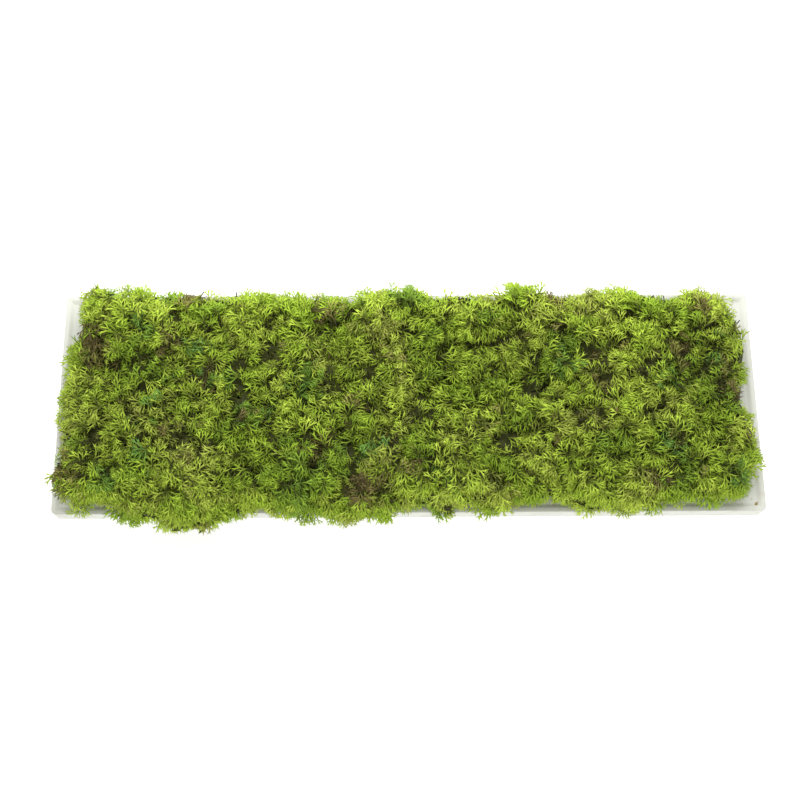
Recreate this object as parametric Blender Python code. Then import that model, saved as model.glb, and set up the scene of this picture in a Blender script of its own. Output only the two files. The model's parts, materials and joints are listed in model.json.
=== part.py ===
"""A long, shallow stoneware tray planted with a dense carpet of branching moss.

Metres, +Z up. The origin is the middle of the tray's flat underside, +X runs along the tray
and +Y towards its back. One growing mat lies in the tray, and every tuft of moss stands with
its root in a hole of that mat.
"""

import math
import random

import bmesh
import bpy
from mathutils import Vector, noise

# Fit between pieces that touch
GAP = 0.0003

# Tray
TRAY_LENGTH = 0.600
TRAY_DEPTH = 0.200
TRAY_HEIGHT = 0.018
FRONT_CORNER = 0.005
BACK_CORNER = 0.002
TIGHTEST_CORNER = 0.0004
TRAY_DRAFT = 0.0012
FOOT_ROUND = 0.0012
RIM_WIDTH = 0.0030
RIM_ROUND = 0.0008
RECESS_DEPTH = 0.0018
RECESS_ROUND = 0.0006
ROUND_BITE = 0.3
CORNER_STEPS = 4
SHARP_ANGLE = 40.0

# Growing mat
MAT_LENGTH = 0.568
MAT_DEPTH = 0.168
MAT_CORNER = 0.014
MAT_TOP = TRAY_HEIGHT + 0.0022
MAT_BOTTOM = TRAY_HEIGHT - RECESS_DEPTH + GAP

# Roots and the holes that they stand in
ROOT_RADIUS = 0.0050
ROOT_DEPTH = 0.0028
HOLE_FIT = 0.00035
HOLE_OVERCUT = 0.001

# Planting grid
ROWS = 4
COLUMNS = 14
COLUMN_PITCH = 0.0405
ROW_PITCH = 0.045
ROW_STAGGER = COLUMN_PITCH / 4
SITE_JITTER_X = 0.003
SITE_JITTER_Y = 0.005
NEIGHBOUR_RANGE = 0.085
SEED = 41

# Tuft shape: rings of core corners by height angle, and how far out the core stands at each
SIDES = 8
CROWN_ANGLE, CROWN_SHARE = 86.5, 0.80
RINGS = ((50.0, 0.62), (13.0, 0.66), (-23.0, 0.92))
EDGE_RINGS = ((50.0, 0.62), (13.0, 0.62), (-23.0, 0.80))
ANGLE_JITTER = 3.5
SHARE_JITTER = 0.05
ROUNDNESS = 3.2
LEAN_SHARE = 0.8
LEAN_MOST = 0.016
LEAN_LOOKS = 16
MIDDLE_HEIGHT = 0.0314
EDGE_MIDDLE_HEIGHT = 0.0354
UNDERSIDE_ROOM = 0.024
RIM_CLEARANCE = 0.0027
CELL_GAP = 0.0004
ROOM_STEP = 0.0005
ROOM_MOST = 0.070

# Moss surface above the table
MOSS_TOP = 0.0564
MOSS_TOP_WAVE = 0.008
MOSS_TOP_JITTER = 0.0035
WAVE_LENGTH = 0.060

# Shoots: forked ones on part of each tuft's faces, and single ones on the rest
FORKED_SHOOTS = 11
THREE_TIP_SHARE = 0.4
STEM_NARROWING = 0.46
STEM_SHARE = 0.42
TIP_SHARES = (0.94, 1.0)
FORK_TIP_SHARES = (0.88, 1.0)
TWO_TIP_NEAR, TWO_TIP_FAR, TWO_TIP_LEAN = 0.62, 0.12, (0.1, 0.3)
THREE_TIP_SIDE, THREE_TIP_FAR = (0.4, 0.5), 0.10
SINGLE_TIP_SHARES = (0.88, 1.0)
SINGLE_WANDER = 1.2

# How far the moss reaches past the tray's edge (negative where it falls short of it), as
# (place along the side, reach). Front and back run along X, left and right along Y.
FRONT_REACH = (
    (-0.300, 0.000),
    (-0.262, 0.001),
    (-0.225, 0.014),
    (-0.178, 0.030),
    (-0.150, 0.021),
    (-0.105, 0.016),
    (-0.065, 0.009),
    (-0.028, 0.018),
    (0.019, -0.003),
    (0.048, 0.014),
    (0.095, -0.004),
    (0.155, 0.016),
    (0.207, 0.012),
    (0.250, -0.004),
    (0.300, -0.008),
)
BACK_REACH = (
    (-0.300, -0.001),
    (-0.200, 0.001),
    (0.000, 0.002),
    (0.130, 0.002),
    (0.230, 0.000),
    (0.300, -0.012),
)
LEFT_REACH = (
    (-0.110, 0.002),
    (-0.078, 0.005),
    (-0.030, 0.001),
    (0.000, -0.003),
    (0.050, -0.014),
    (0.100, -0.013),
)
RIGHT_REACH = (
    (-0.110, -0.012),
    (-0.085, -0.008),
    (-0.032, 0.005),
    (0.046, 0.001),
    (0.080, -0.007),
    (0.100, -0.018),
)

# Finish: colour, roughness
FINISHES = {
    "tray_ivory": ((0.83, 0.84, 0.78), 0.55),
    "mat_peat": ((0.060, 0.042, 0.024), 0.95),
    "moss_yellow_green": ((0.235, 0.330, 0.050), 0.80),
    "moss_mid_green": ((0.140, 0.225, 0.035), 0.80),
    "moss_deep_green": ((0.070, 0.155, 0.040), 0.80),
    "moss_olive_brown": ((0.150, 0.130, 0.050), 0.85),
}
MOSS_FINISHES = (
    "moss_yellow_green",
    "moss_yellow_green",
    "moss_mid_green",
    "moss_mid_green",
    "moss_mid_green",
    "moss_deep_green",
    "moss_olive_brown",
)


def clear_scene():
    for item in list(bpy.data.objects):
        bpy.data.objects.remove(item, do_unlink=True)


def finish(name):
    """The material of that name, made the first time it is asked for."""
    known = bpy.data.materials.get(name)
    if known:
        return known
    colour, roughness = FINISHES[name]
    material = bpy.data.materials.new(name)
    material.use_nodes = True
    shader = material.node_tree.nodes["Principled BSDF"]
    shader.inputs["Base Color"].default_value = (*colour, 1.0)
    shader.inputs["Roughness"].default_value = roughness
    shader.inputs["Metallic"].default_value = 0.0
    material.diffuse_color = (*colour, 1.0)
    return material


def piece(name, bm, slot, parent, place=(0.0, 0.0, 0.0)):
    """An object from a finished bmesh, with its faces turned outwards."""
    bmesh.ops.recalc_face_normals(bm, faces=bm.faces)
    mesh = bpy.data.meshes.new(name)
    bm.to_mesh(mesh)
    bm.free()
    made = bpy.data.objects.new(name, mesh)
    bpy.context.scene.collection.objects.link(made)
    made.data.materials.append(finish(slot))
    made.parent = parent
    made.location = place
    return made


def rounded_outline(length, depth, front_corner, back_corner, z):
    """Points round a level rectangle with round corners, anticlockwise from its +X side."""
    points = []
    for quarter, (sx, sy) in enumerate(((1, 1), (-1, 1), (-1, -1), (1, -1))):
        corner = back_corner if sy > 0 else front_corner
        middle = Vector((sx * (length / 2 - corner), sy * (depth / 2 - corner), z))
        for step in range(CORNER_STEPS + 1):
            angle = math.radians(90.0) * (quarter + step / CORNER_STEPS)
            points.append(middle + corner * Vector((math.cos(angle), math.sin(angle), 0.0)))
    return points


def stacked(outlines):
    """A closed solid through level outlines that all have as many points."""
    bm = bmesh.new()
    rings = [[bm.verts.new(point) for point in outline] for outline in outlines]
    for low, high in zip(rings, rings[1:]):
        for here in range(len(low)):
            after = (here + 1) % len(low)
            bm.faces.new((low[here], low[after], high[after], high[here]))
    bm.faces.new(list(reversed(rings[0])))
    bm.faces.new(rings[-1])
    return bm


def make_tray(parent):
    """The tray: a shallow slab with slightly leaning walls, a raised rim and a flat recess."""
    recess_floor = TRAY_HEIGHT - RECESS_DEPTH
    levels = (
        (TRAY_DRAFT + FOOT_ROUND, 0.0),
        (TRAY_DRAFT, FOOT_ROUND),
        (0.0, TRAY_HEIGHT - RIM_ROUND),
        (RIM_ROUND * ROUND_BITE, TRAY_HEIGHT - RIM_ROUND * ROUND_BITE),
        (RIM_ROUND, TRAY_HEIGHT),
        (RIM_WIDTH - RIM_ROUND, TRAY_HEIGHT),
        (RIM_WIDTH, TRAY_HEIGHT - RIM_ROUND),
        (RIM_WIDTH + RECESS_ROUND * ROUND_BITE, recess_floor + RECESS_ROUND),
        (RIM_WIDTH + RECESS_ROUND * (1.0 + ROUND_BITE), recess_floor),
    )
    outlines = [
        rounded_outline(
            TRAY_LENGTH - 2 * inset,
            TRAY_DEPTH - 2 * inset,
            max(FRONT_CORNER - inset, TIGHTEST_CORNER),
            max(BACK_CORNER - inset, TIGHTEST_CORNER),
            z,
        )
        for inset, z in levels
    ]
    tray = piece("tray", stacked(outlines), "tray_ivory", parent)
    tray.data.shade_smooth()
    tray.data.set_sharp_from_angle(angle=math.radians(SHARP_ANGLE))
    return tray


def polygon(middle, radius, turn, z):
    """The corners of a level polygon with a tuft's number of sides."""
    angles = (turn + side * math.tau / SIDES for side in range(SIDES))
    return [Vector((middle.x + radius * math.cos(a), middle.y + radius * math.sin(a), z)) for a in angles]


def make_mat(parent, tufts):
    """The growing mat, with a blind hole for the root of each tuft."""
    outlines = [
        rounded_outline(MAT_LENGTH, MAT_DEPTH, MAT_CORNER, MAT_CORNER, z) for z in (MAT_BOTTOM, MAT_TOP)
    ]
    mat = piece("growing_mat", stacked(outlines), "mat_peat", parent)

    holes = bmesh.new()
    for tuft in tufts:
        low = MAT_TOP - ROOT_DEPTH - GAP
        corners = [
            [holes.verts.new(point) for point in polygon(tuft.site, ROOT_RADIUS + HOLE_FIT, tuft.turn, z)]
            for z in (low, MAT_TOP + HOLE_OVERCUT)
        ]
        for here in range(SIDES):
            after = (here + 1) % SIDES
            holes.faces.new((corners[0][here], corners[0][after], corners[1][after], corners[1][here]))
        holes.faces.new(list(reversed(corners[0])))
        holes.faces.new(corners[1])
    cutter = piece("root_holes", holes, "mat_peat", parent)
    cutter.hide_render = True
    cutter.display_type = "WIRE"

    cut = mat.modifiers.new("root_holes", "BOOLEAN")
    cut.operation = "DIFFERENCE"
    cut.solver = "EXACT"
    cut.object = cutter
    return mat


def along(profile, place):
    """A profile's value at a place, with an even ease from each of its points to the next."""
    if place <= profile[0][0]:
        return profile[0][1]
    for (start, low), (end, high) in zip(profile, profile[1:]):
        if place <= end:
            share = (place - start) / (end - start)
            return low + (high - low) * share * share * (3.0 - 2.0 * share)
    return profile[-1][1]


def within_moss(x, y):
    """Whether a place is inside the line that the carpet's shoots reach to."""
    half_length, half_depth = TRAY_LENGTH / 2, TRAY_DEPTH / 2
    return (
        -half_depth - along(FRONT_REACH, x) <= y <= half_depth + along(BACK_REACH, x)
        and -half_length - along(LEFT_REACH, y) <= x <= half_length + along(RIGHT_REACH, y)
    )


def over_tray(x, y):
    return abs(x) <= TRAY_LENGTH / 2 and abs(y) <= TRAY_DEPTH / 2


class Tuft:
    """One tuft of moss: where its root stands and the space that its shoots may fill."""

    def __init__(self, row, column, rng):
        x = (column - (COLUMNS - 1) / 2) * COLUMN_PITCH
        x += ROW_STAGGER * (1 if row % 2 else -1) + rng.uniform(-SITE_JITTER_X, SITE_JITTER_X)
        y = (row - (ROWS - 1) / 2) * ROW_PITCH + rng.uniform(-SITE_JITTER_Y, SITE_JITTER_Y)
        self.name = f"moss_tuft_{row + 1}_{column + 1:02d}"
        self.site = Vector((x, y, MAT_TOP))
        self.turn = rng.uniform(0.0, math.tau / SIDES)
        self.at_edge = row in (0, ROWS - 1) or column in (0, COLUMNS - 1)
        wave = noise.noise(Vector((x, y, 0.0)) / WAVE_LENGTH)
        self.top = MOSS_TOP + MOSS_TOP_WAVE * wave + rng.uniform(-MOSS_TOP_JITTER, MOSS_TOP_JITTER)
        self.finish = rng.choice(MOSS_FINISHES)
        self.sides = []
        self.middle = self.site.copy()

    def meet(self, others):
        """Keeps to the tuft's own side of the line halfway to each neighbour."""
        for other in others:
            apart = other.site - self.site
            if other is self or apart.length > NEIGHBOUR_RANGE:
                continue
            across = apart.normalized()
            self.sides.append((across, across.dot(self.site) + apart.length / 2 - CELL_GAP / 2))

    def lean_out(self):
        """Puts the middle of the crown over the middle of the tuft's room, within limits."""
        angles = [math.tau * look / LEAN_LOOKS for look in range(LEAN_LOOKS)]
        pull = Vector((0.0, 0.0, 0.0))
        for angle in angles:
            pull += self.room(angle) * Vector((math.cos(angle), math.sin(angle), 0.0))
        pull *= 2.0 * LEAN_SHARE / LEAN_LOOKS
        if pull.length > LEAN_MOST:
            pull.length = LEAN_MOST
        self.middle = self.site + pull
        self.middle.z = EDGE_MIDDLE_HEIGHT if self.at_edge else MIDDLE_HEIGHT

    def holds(self, x, y):
        place = Vector((x, y, MAT_TOP))
        return within_moss(x, y) and all(across.dot(place) <= limit for across, limit in self.sides)

    def distance(self, angle, test):
        """How far from the middle a test stays true, in a level direction."""
        reach = ROOM_STEP
        while reach < ROOM_MOST:
            x = self.middle.x + reach * math.cos(angle)
            y = self.middle.y + reach * math.sin(angle)
            if not test(x, y):
                break
            reach += ROOM_STEP
        return reach - ROOM_STEP

    def room(self, angle):
        return self.distance(angle, self.holds)

    def reach(self, way):
        """How far a shoot may run from the tuft's middle in a direction."""
        level = math.hypot(way.x, way.y)
        angle = math.atan2(way.y, way.x)
        room = self.room(angle)
        height = self.top - self.middle.z if way.z > 0 else UNDERSIDE_ROOM
        span = ((level / room) ** ROUNDNESS + (abs(way.z) / height) ** ROUNDNESS) ** (-1 / ROUNDNESS)
        drop = self.middle.z - TRAY_HEIGHT - RIM_CLEARANCE
        to_rim = self.distance(angle, over_tray)
        if way.z < 0 and -way.z * to_rim > drop * level:
            span = min(span, drop / -way.z)
        return span


def core_corner(tuft, rng, height_angle, share, turn):
    """A corner of the tuft's core, at a height angle and a turn about the upright."""
    up = math.radians(height_angle + rng.uniform(-ANGLE_JITTER, ANGLE_JITTER))
    round_about = turn + math.radians(rng.uniform(-ANGLE_JITTER, ANGLE_JITTER))
    way = Vector((math.cos(up) * math.cos(round_about), math.cos(up) * math.sin(round_about), math.sin(up)))
    return tuft.middle + way * tuft.reach(way) * (share + rng.uniform(-SHARE_JITTER, SHARE_JITTER))


def blend(tuft, corners, weights, scale=1.0):
    """A place in the cone that runs from the tuft's middle through three core corners."""
    total = sum(weights)
    mixed = sum(((c - tuft.middle) * (w / total) for c, w in zip(corners, weights)), Vector())
    return tuft.middle + mixed * scale


def shoot_tip(tuft, corners, weights, share):
    """A shoot's tip, in the cone of its own face, so that no two shoots cross."""
    way = (blend(tuft, corners, weights) - tuft.middle).normalized()
    return tuft.middle + way * tuft.reach(way) * share


def grow_single(bm, tuft, rng, face, corners):
    """A single pointed shoot that stands on a whole face of the core."""
    weights = [1.0 + rng.uniform(0.0, SINGLE_WANDER) for _ in corners]
    tip = bm.verts.new(shoot_tip(tuft, corners, weights, rng.uniform(*SINGLE_TIP_SHARES)))
    for here in range(3):
        bm.faces.new((face[here], face[(here + 1) % 3], tip))


def grow_forked(bm, tuft, rng, face, corners):
    """A stem that narrows from a face of the core and ends in two or three tips."""
    start = rng.randrange(3)
    face = face[start:] + face[:start]
    corners = corners[start:] + corners[:start]
    three_tips = rng.random() < THREE_TIP_SHARE
    aim = rng.uniform(*TIP_SHARES)
    out = blend(tuft, corners, (1, 1, 1)) - tuft.middle
    stem_scale = 1.0 + STEM_SHARE * (tuft.reach(out.normalized()) * aim / out.length - 1.0)
    near, far = (1.0 - STEM_NARROWING) / 3.0, (1.0 + 2.0 * STEM_NARROWING) / 3.0
    neck = []
    for here in range(3):
        weights = [near] * 3
        weights[here] = far
        neck.append(bm.verts.new(blend(tuft, corners, weights, stem_scale)))
    fork_weights = (1, 1, 1) if three_tips else (near + far, near + far, 2 * near)
    fork = bm.verts.new(blend(tuft, corners, fork_weights, stem_scale))

    for here in range(3):
        after = (here + 1) % 3
        if here == 0 and not three_tips:
            bm.faces.new((face[0], face[1], fork))
            bm.faces.new((face[1], neck[1], fork))
            bm.faces.new((face[0], fork, neck[0]))
        else:
            bm.faces.new((face[here], face[after], neck[after]))
            bm.faces.new((face[here], neck[after], neck[here]))

    if three_tips:
        bases = [(neck[here], neck[(here + 1) % 3], fork) for here in range(3)]
        side = rng.uniform(*THREE_TIP_SIDE)
        aims = [[THREE_TIP_FAR if here == away else side for here in range(3)] for away in (2, 0, 1)]
    else:
        bases = [(neck[0], fork, neck[2]), (fork, neck[1], neck[2])]
        lean = rng.uniform(*TWO_TIP_LEAN)
        aims = [(TWO_TIP_NEAR, TWO_TIP_FAR, lean), (TWO_TIP_FAR, TWO_TIP_NEAR, lean)]
    for base, weights in zip(bases, aims):
        tip = bm.verts.new(shoot_tip(tuft, corners, weights, aim * rng.uniform(*FORK_TIP_SHARES)))
        for here in range(3):
            bm.faces.new((base[here], base[(here + 1) % 3], tip))


def make_tuft(parent, tuft, rng):
    """A tuft: a small core on its root, covered with forked and single shoots."""
    bm = bmesh.new()
    step = math.tau / SIDES
    crown = bm.verts.new(core_corner(tuft, rng, CROWN_ANGLE, CROWN_SHARE, tuft.turn))
    rings = []
    for level, (height_angle, share) in enumerate(EDGE_RINGS if tuft.at_edge else RINGS):
        turn = tuft.turn + (step / 2 if level % 2 else 0.0)
        corners = [core_corner(tuft, rng, height_angle, share, turn + side * step) for side in range(SIDES)]
        rings.append([bm.verts.new(corner) for corner in corners])
    upper, waist, lower = rings

    faces = []
    for here in range(SIDES):
        after = (here + 1) % SIDES
        faces.append((crown, upper[here], upper[after]))
        faces.append((upper[here], waist[here], upper[after]))
        faces.append((waist[here], waist[after], upper[after]))
        faces.append((waist[here], lower[after], waist[after]))
        faces.append((waist[here], lower[here], lower[after]))
    forked = set(rng.sample(range(len(faces)), FORKED_SHOOTS))
    for number, face in enumerate(faces):
        corners = [vert.co.copy() for vert in face]
        grow = grow_forked if number in forked else grow_single
        grow(bm, tuft, rng, face, corners)

    root = [
        [bm.verts.new(point) for point in polygon(tuft.site, ROOT_RADIUS, tuft.turn, z)]
        for z in (MAT_TOP + GAP, MAT_TOP - ROOT_DEPTH)
    ]
    for high, low in ((lower, root[0]), (root[0], root[1])):
        for here in range(SIDES):
            after = (here + 1) % SIDES
            bm.faces.new((high[after], high[here], low[here], low[after]))
    bm.faces.new(root[1])

    bmesh.ops.translate(bm, verts=bm.verts, vec=-tuft.site)
    return piece(tuft.name, bm, tuft.finish, parent, tuft.site)


def main():
    clear_scene()
    rng = random.Random(SEED)
    garden = bpy.data.objects.new("moss_garden", None)
    bpy.context.scene.collection.objects.link(garden)
    tufts = [Tuft(row, column, rng) for row in range(ROWS) for column in range(COLUMNS)]
    for tuft in tufts:
        tuft.meet(tufts)
    for tuft in tufts:
        tuft.lean_out()
    make_tray(garden)
    make_mat(garden, tufts)
    for tuft in tufts:
        make_tuft(garden, tuft, rng)


main()
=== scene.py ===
"""Moss tray garden: a long, shallow, ivory stoneware tray filled with branching moss.

The frame holds the tray, the growing mat and one plain solid for each tuft of moss. The tray is
made again with finer rounds, the mat keeps its solid, and each tuft is grown again in its own
form out of fine forked sprigs.
"""

import json
import math
import random

import bmesh
import bpy
from mathutils import Matrix, Vector, noise
from mathutils.kdtree import KDTree

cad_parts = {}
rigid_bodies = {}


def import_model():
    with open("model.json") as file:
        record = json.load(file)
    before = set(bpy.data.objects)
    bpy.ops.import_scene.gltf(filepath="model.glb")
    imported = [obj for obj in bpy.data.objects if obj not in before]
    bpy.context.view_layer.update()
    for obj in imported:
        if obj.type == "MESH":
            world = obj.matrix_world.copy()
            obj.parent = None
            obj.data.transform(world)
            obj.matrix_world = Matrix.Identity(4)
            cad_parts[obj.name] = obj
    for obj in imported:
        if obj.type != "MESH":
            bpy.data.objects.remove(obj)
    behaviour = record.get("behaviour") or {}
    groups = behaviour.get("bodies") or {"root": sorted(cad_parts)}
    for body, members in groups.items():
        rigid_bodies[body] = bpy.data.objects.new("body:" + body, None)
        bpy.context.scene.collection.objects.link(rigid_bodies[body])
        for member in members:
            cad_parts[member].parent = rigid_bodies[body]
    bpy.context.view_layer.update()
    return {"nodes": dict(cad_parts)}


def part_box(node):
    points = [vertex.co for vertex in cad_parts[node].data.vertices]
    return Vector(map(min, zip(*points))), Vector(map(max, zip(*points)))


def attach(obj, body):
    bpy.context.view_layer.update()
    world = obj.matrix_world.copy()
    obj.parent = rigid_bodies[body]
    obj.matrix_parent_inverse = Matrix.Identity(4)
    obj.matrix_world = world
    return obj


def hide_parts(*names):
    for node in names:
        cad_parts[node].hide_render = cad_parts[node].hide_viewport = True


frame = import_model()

bl_info = {
    "name": "Moss Tray Garden",
    "version": (1, 0, 0),
    "blender": (4, 5, 0),
    "location": "3D View > Sidebar > Moss Garden",
    "description": "Makes a tray of branching moss, its growing mat and a plain studio",
    "category": "Add Mesh",
}

BODY = "root"
TRAY_LOW, TRAY_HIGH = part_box("tray")
MAT_LOW, MAT_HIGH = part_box("growing_mat")
TUFTS = sorted(name for name in frame["nodes"] if name.startswith("moss_tuft_"))
ROWS = sorted({name.split("_")[2] for name in TUFTS})
COLUMNS = sorted({name.split("_")[3] for name in TUFTS})
PIECE_MAP = "OFBake"
CARPET_VOXEL = 0.0035
TIGHTEST_CORNER = 0.0004
BORDER = 0.035
DISH_STEPS = 8

# How far the moss's surface is moved out from its solids' at each edge, as (place along it,
# distance) in metres. Front and back run along X, left and right along Y.
FRONT_SHIFT = (
    (-0.300, -0.0090),
    (-0.275, 0.0120),
    (-0.250, 0.0068),
    (-0.225, 0.0127),
    (-0.200, 0.0112),
    (-0.175, 0.0052),
    (-0.150, 0.0105),
    (-0.125, -0.0015),
    (-0.100, 0.0044),
    (-0.075, 0.0082),
    (-0.050, 0.0134),
    (-0.025, 0.0000),
    (0.000, 0.0037),
    (0.025, 0.0165),
    (0.050, 0.0000),
    (0.075, 0.0074),
    (0.100, 0.0090),
    (0.125, 0.0059),
    (0.150, 0.0060),
    (0.175, 0.0045),
    (0.200, 0.0045),
    (0.225, 0.0008),
    (0.250, 0.0110),
    (0.275, 0.0080),
    (0.300, -0.0010),
)
BACK_SHIFT = (
    (-0.300, 0.0020),
    (-0.275, 0.0089),
    (-0.250, 0.0074),
    (-0.225, 0.0030),
    (-0.200, 0.0060),
    (-0.175, 0.0045),
    (-0.150, 0.0022),
    (-0.125, 0.0015),
    (-0.100, 0.0029),
    (-0.075, 0.0007),
    (-0.050, -0.0089),
    (-0.025, 0.0075),
    (0.000, 0.0075),
    (0.025, -0.0030),
    (0.050, -0.0022),
    (0.075, 0.0015),
    (0.100, 0.0067),
    (0.125, -0.0007),
    (0.150, 0.0015),
    (0.175, 0.0045),
    (0.200, 0.0067),
    (0.225, -0.0015),
    (0.250, 0.0052),
    (0.275, -0.0015),
    (0.300, -0.0080),
)
LEFT_SHIFT = (
    (-0.120, 0.0060),
    (-0.100, 0.0060),
    (-0.080, -0.0010),
    (-0.060, 0.0000),
    (-0.040, -0.0028),
    (-0.020, 0.0070),
    (0.000, 0.0105),
    (0.020, 0.0063),
    (0.040, 0.0119),
    (0.060, 0.0091),
    (0.080, 0.0056),
    (0.100, 0.0056),
)
RIGHT_SHIFT = (
    (-0.120, 0.0020),
    (-0.100, 0.0070),
    (-0.080, -0.0030),
    (-0.060, 0.0000),
    (-0.040, -0.0028),
    (-0.020, -0.0077),
    (0.000, -0.0126),
    (0.020, 0.0021),
    (0.040, -0.0063),
    (0.060, -0.0028),
    (0.080, -0.0049),
    (0.100, 0.0098),
)

# Patches of moss that has browned or kept a deep green, as (x, y, radius) in metres
BROWN_PATCHES = (
    (-0.268, 0.040, 0.013),
    (-0.203, 0.043, 0.010),
    (-0.188, 0.096, 0.013),
    (-0.166, 0.020, 0.008),
    (-0.292, -0.072, 0.012),
    (-0.125, -0.032, 0.007),
    (-0.076, -0.047, 0.012),
    (-0.042, -0.014, 0.008),
    (-0.039, -0.090, 0.013),
    (0.002, -0.068, 0.007),
    (0.159, 0.013, 0.009),
    (0.231, 0.038, 0.011),
    (0.247, 0.080, 0.008),
    (0.275, 0.012, 0.012),
    (0.203, -0.084, 0.010),
    (-0.072, 0.075, 0.008),
    (0.130, 0.096, 0.008),
)
DEEP_GREEN_PATCHES = (
    (-0.224, 0.066, 0.011),
    (-0.175, 0.036, 0.010),
    (-0.220, -0.013, 0.009),
    (-0.164, 0.006, 0.008),
    (-0.081, 0.004, 0.011),
    (-0.120, -0.006, 0.010),
    (-0.140, -0.020, 0.010),
    (-0.082, -0.087, 0.009),
    (-0.034, -0.053, 0.009),
    (0.024, -0.088, 0.009),
    (0.140, 0.022, 0.009),
    (0.264, 0.033, 0.010),
    (0.219, 0.016, 0.009),
    (0.272, -0.005, 0.009),
    (0.277, -0.078, 0.012),
    (0.222, -0.048, 0.009),
    (-0.250, -0.083, 0.010),
    (-0.227, -0.062, 0.008),
)

# Dry flakes on the tray, as (x, y, length) in metres
FLAKE_NOISE = 1500.0
FLAKES = (
    (0.2915, -0.0940, 0.0046),
    (0.2935, -0.0918, 0.0014),
    (0.2850, -0.0955, 0.0020),
    (0.2800, -0.0935, 0.0018),
    (0.2762, -0.0949, 0.0011),
    (0.2885, -0.0890, 0.0010),
    (0.1290, -0.0948, 0.0022),
    (0.1215, -0.0940, 0.0030),
    (0.1140, -0.0952, 0.0018),
    (0.1060, -0.0938, 0.0034),
    (0.0985, -0.0950, 0.0024),
    (0.0900, -0.0941, 0.0030),
    (0.0830, -0.0953, 0.0017),
    (0.0760, -0.0940, 0.0032),
    (0.0680, -0.0949, 0.0021),
    (0.0600, -0.0938, 0.0028),
    (-0.2880, -0.0940, 0.0016),
    (-0.2820, -0.0955, 0.0024),
    (-0.0250, -0.0945, 0.0020),
    (0.2920, 0.0600, 0.0014),
    (0.2915, -0.0400, 0.0018),
)


def number(name, description, default, low=0.0, unit="NONE", **more):
    """A number property that a user can change."""
    return bpy.props.FloatProperty(
        name=name, description=description, default=default, min=low, unit=unit, precision=5, **more
    )


def size(name, description, default):
    """A length property, in metres."""
    return number(name, description, default, unit="LENGTH")


def angle(name, description, degrees):
    """An angle property, with its default given in degrees."""
    return bpy.props.FloatProperty(
        name=name, description=description, default=math.radians(degrees), subtype="ANGLE"
    )


def colour(name, description, default):
    """A linear colour property."""
    return bpy.props.FloatVectorProperty(
        name=name, description=description, default=default, size=3, min=0.0, max=1.0, subtype="COLOR"
    )


class TrayProperties(bpy.types.PropertyGroup):
    """Sizes and colours of the tray and the mat in it."""

    front_corner: size("Front corner", "Radius of the tray's two front corners", 0.0050)
    back_corner: size("Back corner", "Radius of the tray's two back corners", 0.0020)
    draft: size("Draft", "How far the walls lean out from foot to rim", 0.0012)
    foot_round: size("Foot round", "Round along the foot", 0.0012)
    rim_width: size("Rim width", "Width of the rim", 0.0030)
    rim_round: size("Rim round", "Rounds along both edges of the rim", 0.0008)
    recess_depth: size("Recess depth", "Depth of the recess under the rim", 0.0018)
    recess_slope: size("Recess slope", "How far the rim takes to fall to the recess's floor", 0.0050)
    glaze: colour("Tray colour", "Colour of the tray", (0.770, 0.775, 0.705))
    stain: colour("Stain colour", "Colour of the faint stains on the tray", (0.63, 0.59, 0.50))
    peat: colour("Mat colour", "Colour of the growing mat", (0.045, 0.040, 0.020))
    fibre: colour("Fibre colour", "Colour of the dry fibres in the mat", (0.16, 0.11, 0.06))


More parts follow.
